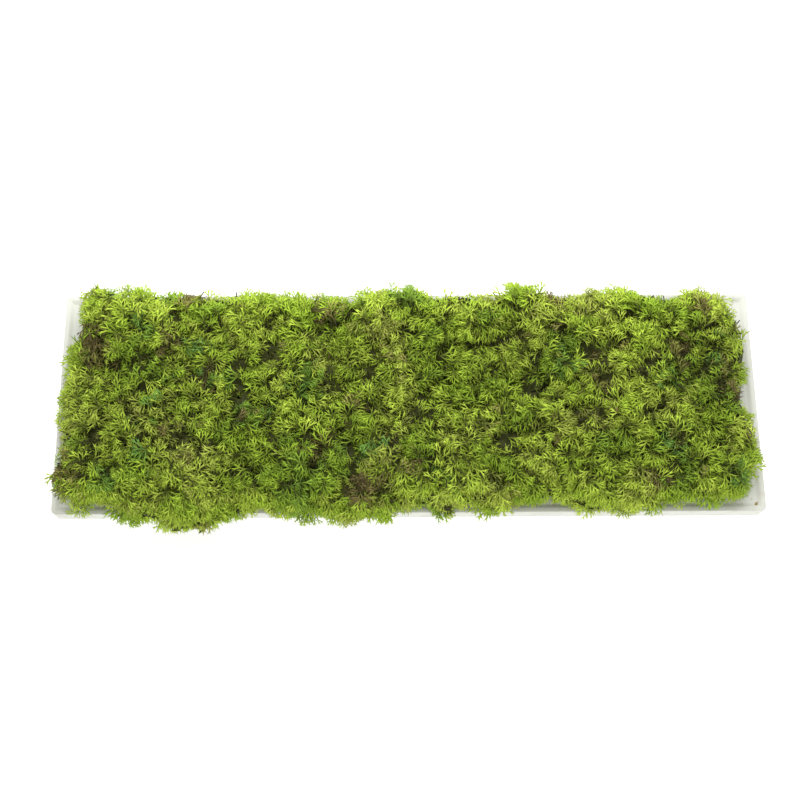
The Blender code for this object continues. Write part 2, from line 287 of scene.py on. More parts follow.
class MossProperties(bpy.types.PropertyGroup):
    """Sizes, numbers and colours of the moss."""

    seed: bpy.props.IntProperty(name="Seed", description="Seed of every random draw", default=7)
    kinds: bpy.props.IntProperty(name="Sprig kinds", description="Different sprigs", default=12)
    light_kinds: bpy.props.IntProperty(
        name="Light kinds", description="Different sprigs with few forks, for the undergrowth", default=6
    )
    sprig_length: size("Sprig length", "Length of a whole sprig", 0.0240)
    shoot_radius: size("Shoot radius", "Radius of a shoot at its widest", 0.00054)
    fork_angle: angle("Fork angle", "Half the angle between the two arms of a fork", 23.0)
    droop: angle("Droop", "How far a sprig bends over at each fork", 11.0)
    spacing: size("Sprig spacing", "Mean distance between sprigs", 0.0039)
    smallest: number("Smallest sprig", "Scale of the smallest sprigs", 0.70)
    largest: number("Largest sprig", "Scale of the largest sprigs", 1.15)
    lean: number("Lean", "Share of its upright way that a sprig keeps, less for a flatter one", 0.50)
    flow: number("Flow", "How far the sprigs of a spot stray together to one side", 2.3)
    wander: number("Wander", "How far each sprig strays by itself", 0.62)
    roll: angle("Roll", "How far a sprig's fan is turned away from facing up", 32.0)
    fullness: number("Fullness", "How far each tuft's form spreads into its neighbours", 1.70)
    evenness: bpy.props.IntProperty(name="Evenness", description="Smoothing of the carpet", default=8)
    clump_gap: size("Clump spacing", "Mean distance between clumps", 0.0215)
    clump_root: size("Clump root", "Depth of the point that a clump's sprigs fan out from", 0.0240)
    clump_lift: size("Clump lift", "How far clumps stand above or below each other", 0.0048)
    layering: size("Layering", "How far the lowest sprigs lie under the highest", 0.0080)
    undergrowth: number("Undergrowth", "Share of the sprigs that stand low in the gaps", 0.28)
    valley_width: size("Valley width", "Distance over which a clump falls off to its edge", 0.0110)
    valley_depth: size("Valley depth", "Depth of the gaps between clumps", 0.0062)
    fringe: size("Fringe", "How far the longest sprigs of the sides poke out", 0.0065)
    felt_depth: size("Felt depth", "Depth of the matted old moss under the sprigs' tips", 0.0160)
    purple_brown: colour("Purple brown", "Tips of the oldest dry sprigs", (0.125, 0.080, 0.046))
    rust: colour("Rust", "Tips of dry sprigs", (0.290, 0.245, 0.078))
    olive: colour("Olive", "Tips of sprigs that are drying", (0.450, 0.500, 0.095))
    lime: colour("Lime", "Tips of the brightest sprigs", (0.640, 0.830, 0.092))
    leaf: colour("Leaf green", "Tips of the commonest sprigs", (0.460, 0.680, 0.050))
    forest: colour("Forest green", "Tips of darker sprigs", (0.270, 0.470, 0.060))
    emerald: colour("Emerald", "Tips of the deepest green sprigs", (0.180, 0.390, 0.085))
    flake: colour("Flake", "Lighter colour of the fallen flakes", (0.520, 0.310, 0.150))
    # The root colour is also painted shade: sprigs lying low or in the gaps, and the felt, are pulled toward it.
    old_stem_and_shade: colour("Old stem", "Colour that every sprig fades to at its root", (0.045, 0.052, 0.010))


class StageProperties(bpy.types.PropertyGroup):
    """The studio round the tray, and the camera."""

    floor_size: size("Floor size", "Side of the square floor", 12.0)
    floor_colour: colour("Floor colour", "Colour of the floor", (0.92, 0.92, 0.92))
    floor_glow: number("Floor glow", "Light that the floor gives off, as a lit table does", 0.44)
    sky: number("Sky strength", "Strength of the even light from all round", 0.54)
    key_power: number("Key power", "Power of the large soft light at the back, in watts", 8.5)
    fill_power: number("Fill power", "Power of the weaker soft light at the front, in watts", 4.0)
    azimuth: angle("Azimuth", "Turn of the view about the upright", -1.805)
    elevation: angle("Elevation", "Height angle of the view", 69.097)
    roll: angle("Roll", "Turn of the camera about its own line of sight", 1.423)
    distance: size("Distance", "From the camera to the point that it looks at", 1.3268)
    target: bpy.props.FloatVectorProperty(
        name="Target", description="Point that the camera looks at", default=(-0.0070, 0.0080, 0.0),
        subtype="TRANSLATION", unit="LENGTH"
    )
    lens: number("Lens", "Focal length in millimetres on a sensor 36 mm wide", 68.35)


class Wire:
    """An output socket. Arithmetic on it adds the nodes that work it out."""

    def __init__(self, net, socket):
        self.net = net
        self.socket = socket

    def work(self, operation, left, right):
        kind = "ShaderNodeVectorMath" if self.socket.type in ("VECTOR", "RGBA") else "ShaderNodeMath"
        return self.net.node(kind, {"operation": operation}, {0: left, 1: right})

    def __add__(self, other):
        return self.work("ADD", self, other)

    def __radd__(self, other):
        return self.work("ADD", other, self)

    def __sub__(self, other):
        return self.work("SUBTRACT", self, other)

    def __rsub__(self, other):
        return self.work("SUBTRACT", other, self)

    def __mul__(self, other):
        return self.work("MULTIPLY", self, other)

    def __rmul__(self, other):
        return self.work("MULTIPLY", other, self)

    def __truediv__(self, other):
        return self.work("DIVIDE", self, other)

    def __rtruediv__(self, other):
        return self.work("DIVIDE", other, self)

    def __lt__(self, other):
        return self.work("LESS_THAN", self, other)

    def __gt__(self, other):
        return self.work("GREATER_THAN", self, other)

    def scaled(self, factor):
        """A vector times a number."""
        return self.net.node("ShaderNodeVectorMath", {"operation": "SCALE"}, {0: self, "Scale": factor})

    def output(self, name):
        """Another output of the node that this one comes from."""
        return Wire(self.net, find_socket(self.socket.node.outputs, name))


def find_socket(sockets, name):
    """A socket by its place or by the name of one that is in use."""
    if isinstance(name, int):
        return sockets[name]
    return next(socket for socket in sockets if socket.enabled and name in ("", socket.name))


class Net:
    """Adds nodes to one shader tree or geometry tree."""

    def __init__(self, tree):
        self.tree = tree

    def node(self, kind, settings=None, sockets=None, output=""):
        """One node: its settings first, then its sockets' values or links. Gives one output."""
        made = self.tree.nodes.new(kind)
        made.location.x = 180.0 * len(self.tree.nodes)
        for name, value in (settings or {}).items():
            if name == "stops":
                set_stops(made.color_ramp, value)
            else:
                setattr(made, name, value)
        for name, value in (sockets or {}).items():
            socket = find_socket(made.inputs, name)
            if isinstance(value, Wire):
                self.tree.links.new(value.socket, socket)
            else:
                socket.default_value = value
        return Wire(self, find_socket(made.outputs, output)) if made.outputs else None

    def noise(self, place, scale, detail=2.0, roughness=0.5):
        """Even noise of the given scale, from 0 to 1."""
        sockets = {"Vector": place, "Scale": scale, "Detail": detail, "Roughness": roughness}
        return self.node("ShaderNodeTexNoise", {"noise_dimensions": "3D"}, sockets)

    def ease(self, value, low, high, start=0.0, end=1.0):
        """A value eased from start to end while it runs from low to high."""
        sockets = {"Value": value, "From Min": low, "From Max": high, "To Min": start, "To Max": end}
        return self.node("ShaderNodeMapRange", {"interpolation_type": "SMOOTHSTEP"}, sockets)

    def mix(self, factor, low, high, blend_type="MIX"):
        """A mix of two colours."""
        settings = {"data_type": "RGBA", "blend_type": blend_type}
        return self.node("ShaderNodeMix", settings, {"Factor": factor, "A": low, "B": high}, "Result")

    def bump(self, height, depth, strength=1.0):
        """A normal that follows a height of the given depth in metres."""
        return self.node("ShaderNodeBump", {}, {"Height": height, "Distance": depth, "Strength": strength})


def set_stops(ramp, stops):
    """Puts colour stops, as (place, colour), on a ramp."""
    while len(ramp.elements) > 1:
        ramp.elements.remove(ramp.elements[-1])
    for number_, (place, shade) in enumerate(stops):
        element = ramp.elements.new(place) if number_ else ramp.elements[0]
        element.position = place
        element.color = rgba(shade)


def rgba(shade):
    return (*shade, 1.0)


def new_material(name, shade):
    """A material with a Principled shader, and the net that its other nodes go to."""
    material = bpy.data.materials.new(name)
    material.use_nodes = True
    material.diffuse_color = rgba(shade)
    shader = material.node_tree.nodes["Principled BSDF"]
    return material, Net(material.node_tree), shader


def feed(net, shader, **values):
    """Sets or links the shader's sockets; an underscore in a name stands for a blank."""
    for name, value in values.items():
        socket = shader.inputs[name.replace("_", " ")]
        if isinstance(value, Wire):
            net.tree.links.new(value.socket, socket)
        else:
            socket.default_value = value


def stoneware_material(tray):
    """Matt ivory stoneware: fine grain, slow unevenness and faint stains."""
    material, net, shader = new_material("stoneware_ivory", tray.glaze)
    place = net.node("ShaderNodeTexCoord", output="Object")
    cloud = net.noise(place, 22.0, 4.0)
    blotch = net.noise(place, 75.0, 3.0)
    grain = net.noise(place, 2600.0, 2.0)
    stained = net.ease(cloud * blotch, 0.27, 0.44, 0.0, 0.55)
    base = net.mix(stained, rgba(tray.glaze), rgba(tray.stain))
    shade = net.mix(1.0, base, net.node("ShaderNodeCombineColor", {}, tone(grain, 0.955, 1.0)), "MULTIPLY")
    height = net.bump(grain, 0.00006)
    wavy = net.node("ShaderNodeBump", {}, {"Height": cloud, "Distance": 0.0009, "Strength": 0.5, "Normal": height})
    feed(net, shader, Base_Color=shade, Roughness=net.ease(blotch, 0.3, 0.7, 0.42, 0.58), Normal=wavy)
    return material


def tone(value, low, high):
    """Sockets of a grey that runs from low to high with a value from 0 to 1."""
    level = value * (high - low) + low
    return {"Red": level, "Green": level, "Blue": level}


def peat_material(tray):
    """Dark damp peat with dry fibres lying in it."""
    material, net, shader = new_material("peat", tray.peat)
    place = net.node("ShaderNodeTexCoord", output="Object")
    clods = net.noise(place, 320.0, 6.0, 0.65)
    bent = place + net.node("ShaderNodeTexNoise", {}, {"Vector": place, "Scale": 90.0}, "Color").scaled(0.012)
    threads = net.node("ShaderNodeTexWave", {"wave_type": "RINGS"}, {"Vector": bent, "Scale": 260.0})
    dry = net.ease(threads * clods, 0.42, 0.60)
    shade = net.mix(dry, rgba(tray.peat), rgba(tray.fibre))
    feed(net, shader, Base_Color=shade, Roughness=0.95, Normal=net.bump(clods + dry * 0.4, 0.0012))
    return material


def moss_material(moss):
    """Moss whose colour follows its own map: across it the kind of sprig, up it root to tip. That height also carries
    painted shade and painted light from the growth tree.
    """
    material, net, shader = new_material("moss_leaf", moss.leaf)
    shader.inputs["Specular IOR Level"].default_value = 0.16
    spot = net.node("ShaderNodeUVMap", {"uv_map": PIECE_MAP})
    kind = net.node("ShaderNodeSeparateXYZ", {}, {"Vector": spot}, "X")
    along = kind.output("Y")
    stops = (
        (0.00, moss.purple_brown),
        (0.16, moss.rust),
        (0.32, moss.olive),
        (0.46, moss.lime),
        (0.62, moss.leaf),
        (0.80, moss.forest),
        (0.98, moss.emerald),
    )
    fresh = net.node("ShaderNodeValToRGB", {"stops": stops}, {"Fac": kind})
    # Roots fade to the old stems' dark. With the painted shade worked into the height, low sprigs and gaps darken
    # toward it too.
    grown = net.mix(net.ease(along, 0.06, 0.66), rgba(moss.old_stem_and_shade), fresh)
    speck = net.noise(spot, 55.0, 2.0)
    # Tips up to about a third lighter and lower parts darker: partly fresh growth, partly a painted highlight on the
    # tips and painted shade below them.
    tip = net.ease(along, 0.55, 1.0, 0.74, 1.28) * net.ease(speck, 0.25, 0.75, 0.84, 1.12)
    lit = net.node("ShaderNodeCombineColor", {}, {"Red": tip, "Green": tip, "Blue": tip})
    shade = net.mix(1.0, grown, lit, "MULTIPLY")
    scales = net.node("ShaderNodeMath", {"operation": "SINE"}, {0: along * 150.0})
    feed(net, shader, Base_Color=shade, Roughness=net.ease(speck, 0.2, 0.8, 0.48, 0.66))
    feed(net, shader, Normal=net.bump(scales, 0.00012, 0.6))
    return material


def crumb_material(moss):
    """Dry flakes of old moss: rust brown, patchy with a lighter flake colour."""
    material, net, shader = new_material("dry_flake", moss.rust)
    place = net.node("ShaderNodeTexCoord", output="Object")
    patchy = net.noise(place, 700.0, 3.0)
    shade = net.mix(net.ease(patchy, 0.35, 0.65), rgba(moss.rust), rgba(moss.flake))
    feed(net, shader, Base_Color=shade, Roughness=0.8, Normal=net.bump(patchy, 0.0003))
    return material


def new_object(name, bm):
    """An object at the origin from a finished bmesh."""
    mesh = bpy.data.meshes.new(name)
    bm.to_mesh(mesh)
    bm.free()
    made = bpy.data.objects.new(name, mesh)
    bpy.context.scene.collection.objects.link(made)
    return made


def settle(piece, material, slot, *nodes):
    """Gives a finished piece its material and body, and hides the solids that it stands for. Its slot is not used."""
    if not piece.data.materials:
        piece.data.materials.append(material)
    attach(piece, BODY)
    if nodes:
        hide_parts(*nodes)


def level_outline(low, high, front_corner, back_corner, z, steps=9):
    """Points round a level rectangle with round corners, anticlockwise from its +X side."""
    points = []
    for turn, (x, y) in enumerate(((high.x, high.y), (low.x, high.y), (low.x, low.y), (high.x, low.y))):
        corner = back_corner if turn < 2 else front_corner
        away = Vector((math.copysign(corner, x), math.copysign(corner, y), 0.0))
        for step in range(steps + 1):
            way = math.radians(90.0) * (turn + step / steps)
            points.append(Vector((x, y, z)) - away + corner * Vector((math.cos(way), math.sin(way), 0.0)))
    return points


def tray_profile(tray, height):
    """The tray's wall from its underside over the rim to the recess's floor."""
    floor = height - tray.recess_depth
    foot, rim = tray.foot_round, tray.rim_round
    points = [(tray.draft + foot * (1 - math.sin(a)), foot * (1 - math.cos(a))) for a in quarter_angles()]
    points += [(rim * (1 - math.cos(a)), height - rim * (1 - math.sin(a))) for a in quarter_angles()]
    for step in range(DISH_STEPS + 1):
        share = step / DISH_STEPS
        fallen = share * share * (3 - 2 * share)
        points.append((tray.rim_width + share * tray.recess_slope, height + fallen * (floor - height)))
    return points


def quarter_angles(steps=4):
    return [math.radians(90.0) * step / steps for step in range(steps + 1)]


class MOSSGARDEN_OT_tray(bpy.types.Operator):
    """Makes the tray with its rounded rim and recess"""

    bl_idname = "mossgarden.make_tray"
    bl_label = "Make tray"

    def execute(self, context):
        tray = context.scene.moss_tray
        bm = bmesh.new()
        rings = []
        for inset, z in tray_profile(tray, TRAY_HIGH.z):
            step = Vector((inset, inset, 0.0))
            corners = [max(corner - inset, TIGHTEST_CORNER) for corner in (tray.front_corner, tray.back_corner)]
            outline = level_outline(TRAY_LOW + step, TRAY_HIGH - step, *corners, z)
            rings.append([bm.verts.new(point) for point in outline])
        for low, high in zip(rings, rings[1:]):
            for here in range(len(low)):
                after = (here + 1) % len(low)
                bm.faces.new((low[here], low[after], high[after], high[here]))
        bm.faces.new(list(reversed(rings[0])))
        bm.faces.new(rings[-1])
        bmesh.ops.recalc_face_normals(bm, faces=bm.faces)
        piece = new_object("tray_stoneware", bm)
        piece.data.shade_smooth()
        piece.data.set_sharp_from_angle(angle=math.radians(45.0))
        settle(piece, stoneware_material(tray), "tray_ivory", "tray")
        return {"FINISHED"}


class MOSSGARDEN_OT_flakes(bpy.types.Operator):
    """Scatters the dry flakes that lie on the tray beside the moss"""

    bl_idname = "mossgarden.scatter_flakes"
    bl_label = "Scatter flakes"

    def execute(self, context):
        tray = context.scene.moss_tray
        floor = TRAY_HIGH.z - tray.recess_depth
        rng = random.Random(context.scene.moss_moss.seed)
        noise.seed_set(context.scene.moss_moss.seed)
        bm = bmesh.new()
        for x, y, length in FLAKES:
            turn = Matrix.Rotation(rng.uniform(0.0, math.pi), 4, "Z") @ Matrix.Rotation(rng.uniform(-0.3, 0.3), 4, "X")
            form = Matrix.Diagonal((length / 2, length * rng.uniform(0.18, 0.34), length * 0.12, 1.0))
            place = Matrix.Translation((x, y, floor + length * 0.14))
            made = bmesh.ops.create_icosphere(bm, subdivisions=2, radius=1.0, matrix=place @ turn @ form)
            for vert in made["verts"]:
                vert.co += noise.noise_vector(vert.co * FLAKE_NOISE) * length * 0.10
        piece = new_object("fallen_flakes", bm)
        piece.data.shade_smooth()
        settle(piece, crumb_material(context.scene.moss_moss), "mat_peat")
        return {"FINISHED"}


class MOSSGARDEN_OT_mat(bpy.types.Operator):
    """Gives the growing mat its peat"""

    bl_idname = "mossgarden.finish_mat"
    bl_label = "Finish growing mat"

    def execute(self, context):
        mat = frame["nodes"]["growing_mat"]
        mat.data.materials.clear()
        mat.data.materials.append(peat_material(context.scene.moss_tray))
        return {"FINISHED"}


def add_shoot(bm, uv_layer, rings, tip, kind):
    """A three-sided shoot through rings of (place, across, up, radius, age). What isn't a tip ends in others."""
    made = []
    for place, across, up, radius, age in rings:
        sides = ((-1.0, -0.25), (1.0, -0.25), (0.0, 0.60))
        ring = [bm.verts.new(place + radius * (side * across + high * up)) for side, high in sides]
        made.append((ring, age))

    def skin(corners, ages):
        face = bm.faces.new(corners)
        for number_, (loop, age) in enumerate(zip(face.loops, ages)):
            loop[uv_layer].uv = (kind + SHOOT_MAP_WIDTH * number_ / 3, age)

    for (low, low_age), (high, high_age) in zip(made, made[1:]):
        for here in range(3):
            after = (here + 1) % 3
            ages = (low_age, low_age, high_age, high_age)
            skin((low[here], low[after], high[after], high[here]), ages)
    if tip is None:
        return
    last, last_age = made[-1]
    point = bm.verts.new(tip)
    for here in range(3):
        skin((last[here], last[(here + 1) % 3], point), (last_age, last_age, 1.0))


SHOOT_MAP_WIDTH = 0.20  # share of a sprig's own strip of the map that one shoot takes
SPRIG_MAP_WIDTH = 0.05  # share of the whole map that one sprig takes
ARM_SHARES = {4: (0.26, 0.21, 0.19, 0.17, 0.20), 2: (0.40, 0.32, 0.30)}  # by forks, of a sprig's length


class Sprig:
    """One flat forked sprig, grown along +Z from the origin in the X-Z plane."""

    def __init__(self, moss, rng, forks):
        self.moss = moss
        self.rng = rng
        self.forks = forks
        self.bm = bmesh.new()
        self.uv_layer = self.bm.loops.layers.uv.new(PIECE_MAP)

    def grow(self, start, way, across, fork):
        """A shoot, and the two that fork from its end, out to the tips."""
        moss, rng = self.moss, self.rng
        length = moss.sprig_length * ARM_SHARES[self.forks][fork] * rng.uniform(0.80, 1.20)
        end = start + way * length
        kind = rng.uniform(0.0, 1.0 - SHOOT_MAP_WIDTH)
        age, next_age = fork / (self.forks + 1), (fork + 1) / (self.forks + 1)
        normal = across.cross(way).normalized()
        radius = moss.shoot_radius * rng.uniform(0.88, 1.12)
        if fork == self.forks or (fork == self.forks - 1 and rng.random() < 0.20):
            ring = (start, across, normal, radius * 1.28, age)
            add_shoot(self.bm, self.uv_layer, (ring,), end, kind)
            return
        rings = ((start, across, normal, radius * 0.90, age), (end, across, normal, radius, next_age))
        add_shoot(self.bm, self.uv_layer, rings, None, kind)
        for side in (-1.0, 1.0):
            turn = side * moss.fork_angle * rng.uniform(0.6, 1.4)
            bow = moss.droop * rng.uniform(0.3, 1.7) + math.radians(rng.uniform(-14.0, 14.0))
            arm = Matrix.Rotation(turn, 3, normal) @ way
            flat = Matrix.Rotation(turn, 3, normal) @ across
            arm = Matrix.Rotation(bow, 3, flat) @ arm
            self.grow(end - way * length * 0.12, arm, flat, fork + 1)

    def finish(self, name):
        """The sprig's object, which no scene shows."""
        mesh = bpy.data.meshes.new(name)
        self.bm.normal_update()
        self.bm.to_mesh(mesh)
        self.bm.free()
        mesh.shade_smooth()
        return bpy.data.objects.new(name, mesh)


def make_sprigs(moss):
    """A collection of different sprigs for the moss to be grown from."""
    kinds = bpy.data.collections.new("sprig_kinds")
    for number_ in range(moss.kinds + moss.light_kinds):
        forks = max(ARM_SHARES) if number_ < moss.kinds else min(ARM_SHARES)
        sprig = Sprig(moss, random.Random(moss.seed * 100 + number_), forks)
        sprig.grow(Vector((0.0, 0.0, 0.0)), Vector((0.0, 0.0, 1.0)), Vector((1.0, 0.0, 0.0)), 0)
        kinds.objects.link(sprig.finish(f"sprig_{number_:02d}"))
    return kinds


def make_patches():
    """Points on the ground that say where patches lie, how far they reach and their kind."""
    kinds = ((0.17, BROWN_PATCHES), (0.84, DEEP_GREEN_PATCHES))
    spots = [(x, y, radius, kind) for kind, patches in kinds for x, y, radius in patches]
    mesh = bpy.data.meshes.new("moss_patches")
    mesh.from_pydata([(x, y, 0.0) for x, y, _, _ in spots], [], [])
    for name, place in (("patch_radius", 2), ("patch_kind", 3)):
        values = mesh.attributes.new(name, "FLOAT", "POINT")
        values.data.foreach_set("value", [spot[place] for spot in spots])
    return bpy.data.objects.new("moss_patches", mesh)


def tuft_form(node):
    """The points of a tuft that stand above the mat, and the middle of them near their foot."""
    places = {tuple(round(x, 6) for x in vert.co) for vert in frame["nodes"][node].data.vertices}
    above = [Vector(place) for place in sorted(places) if place[2] > MAT_HIGH.z + 0.001]
    low = Vector([min(place[axis] for place in above) for axis in range(3)])
    high = Vector([max(place[axis] for place in above) for axis in range(3)])
    heart = (low + high) / 2
    heart.z = low.z + 0.22 * (high.z - low.z)
    return above, heart


def spread(node, place, heart, fullness):
    """A place on a tuft's form, moved out into its neighbours but not past the tray's own edge."""
    _, _, row, column = node.split("_")
    moved = heart + (place - heart) * fullness
    past_row = {ROWS[0]: place.y < heart.y, ROWS[-1]: place.y > heart.y}.get(row, False)
    past_column = {COLUMNS[0]: place.x < heart.x, COLUMNS[-1]: place.x > heart.x}.get(column, False)
    return Vector((place.x if past_column else moved.x, place.y if past_row else moved.y, place.z))


def make_carpet(moss):
    """One smooth form over all the tufts, spread until they meet, and the tufts' hearts."""
    whole = bmesh.new()
    hearts = {}
    for node in TUFTS:
        above, heart = tuft_form(node)
        hearts[node] = heart
        dome = [whole.verts.new(spread(node, place, heart, moss.fullness)) for place in above]
        hull = bmesh.ops.convex_hull(whole, input=dome)
        spare = {item for item in hull["geom_interior"] + hull["geom_unused"]}
        bmesh.ops.delete(whole, geom=[v for v in spare if isinstance(v, bmesh.types.BMVert)], context="VERTS")
    bmesh.ops.recalc_face_normals(whole, faces=whole.faces)
    carpet = new_object("moss_carpet_form", whole)
    remesh = carpet.modifiers.new("join", "REMESH")
    remesh.mode = "VOXEL"
    remesh.voxel_size = CARPET_VOXEL
    smooth = carpet.modifiers.new("even", "SMOOTH")
    smooth.iterations = moss.evenness
    mesh = bake(carpet)
    for vert in mesh.vertices:
        vert.co = at_edge(vert.co)
    return mesh, hearts


def along(table, place):
    """The value that a table of (place, value) pairs gives at a place."""
    for (low, start), (high, end) in zip(table, table[1:]):
        if place <= high:
            return start + (end - start) * max(0.0, (place - low) / (high - low))
    return table[-1][1]


def at_edge(place):
    """A place on the carpet, moved by the tables of shifts the more, the nearer to an edge it is."""
    x, y, z = place
    front, back = (min(1.0, max(0.0, (side * y - 0.040) / 0.045)) for side in (-1.0, 1.0))
    left, right = (min(1.0, max(0.0, (side * x - 0.240) / 0.045)) for side in (-1.0, 1.0))
    moved_x = right * along(RIGHT_SHIFT, y) - left * along(LEFT_SHIFT, y)
    moved_y = back * along(BACK_SHIFT, x) - front * along(FRONT_SHIFT, x)
    return Vector((x + moved_x, y + moved_y, z))


def bake(made):
    """The mesh that an object's modifiers give, once the object itself is gone."""
    made.update_tag()
    evaluated = made.evaluated_get(bpy.context.evaluated_depsgraph_get())
    mesh = bpy.data.meshes.new_from_object(evaluated)
    if not mesh.polygons:
        raise RuntimeError(f"nothing is left of {made.name}")
    bpy.data.objects.remove(made)
    return mesh


def mark_clumps(carpet, moss):
    """Splits the carpet's surface into clumps, and keeps each one's values on its points."""
    rng = random.Random(moss.seed)
    noise.seed_set(moss.seed)
    points = [vert for vert in carpet.vertices if vert.normal.z > -0.6 and vert.co.z > TRAY_HIGH.z - 0.004]
    rng.shuffle(points)
    seeds = []
    for vert in points:
        gap = moss.clump_gap * rng.uniform(0.75, 1.20)
        if all((vert.co - other).length > max(gap, reach) for other, reach, _ in seeds):
            tilt = 0.4 if abs(vert.co.x) > 0.262 or abs(vert.co.y) > 0.066 else 1.0
            way = vert.normal + tilt * Vector((rng.uniform(-1.0, 1.0), rng.uniform(-1.0, 1.0), 0.0))
            way.normalize()
            root = vert.co - way * moss.clump_root * rng.uniform(0.8, 1.2)
            values = (root, rng.uniform(-1.4, 0.6) * moss.clump_lift, rng.uniform(-1.0, 1.0))
            seeds.append((vert.co.copy(), gap, values))
    tree = KDTree(len(seeds))
    for place, (co, _, _) in enumerate(seeds):
        tree.insert(co, place)
    tree.balance()
    roots, lifts, tones, valleys = [], [], [], []
    for vert in carpet.vertices:
        (_, first, near), (_, _, far) = tree.find_n(vert.co + noise.noise_vector(vert.co * 70.0) * 0.006, 2)
        root, lift, shade = seeds[first][2]
        roots.extend(root)
        lifts.append(lift)
        tones.append(shade)
        valleys.append(max(0.0, 1.0 - (far - near) / moss.valley_width) ** 1.5)
    carpet.attributes.new("root", "FLOAT_VECTOR", "POINT").data.foreach_set("vector", roots)
    for name, values in (("lift", lifts), ("tone", tones), ("valley", valleys)):
        carpet.attributes.new(name, "FLOAT", "POINT").data.foreach_set("value", values)


def cut_carpet(carpet, name, nodes, hearts):
    """The stretch of the carpet that lies nearest to some tufts, as an object."""
    stretch = bmesh.new()
    stretch.from_mesh(carpet)
    names = sorted(hearts)
    others = []
    for face in stretch.faces:
        middle = face.calc_center_median()
        nearest = min(names, key=lambda node: (hearts[node].xy - middle.xy).length)
        if nearest not in nodes:
            others.append(face)
    bmesh.ops.delete(stretch, geom=others, context="FACES")
    return new_object(name, stretch)


